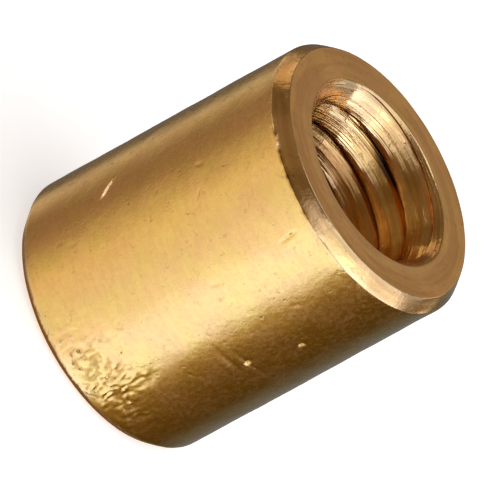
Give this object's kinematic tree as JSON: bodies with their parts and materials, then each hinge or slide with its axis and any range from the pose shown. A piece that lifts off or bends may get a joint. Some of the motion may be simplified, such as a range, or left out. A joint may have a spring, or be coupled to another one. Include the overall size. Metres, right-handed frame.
{
  "type": "round threaded standoff",
  "caption": "Short round brass standoff with an internal metric thread right through and a broken edge and countersunk mouth at each end.",
  "frame": {"origin": "middle of the bottom end face, on the thread's axis", "axes": "+Z along the thread's axis, from the bottom end face to the top one; the part is round, so +X and +Y are any two directions square to it"},
  "size_m": [0.006, 0.006, 0.007],
  "materials": {
    "turned_brass": "satin, as turned, lightly tarnished and handled"
  },
  "bodies": {
    "root": {"standoff_body": "turned_brass"}
  },
  "joints": []
}
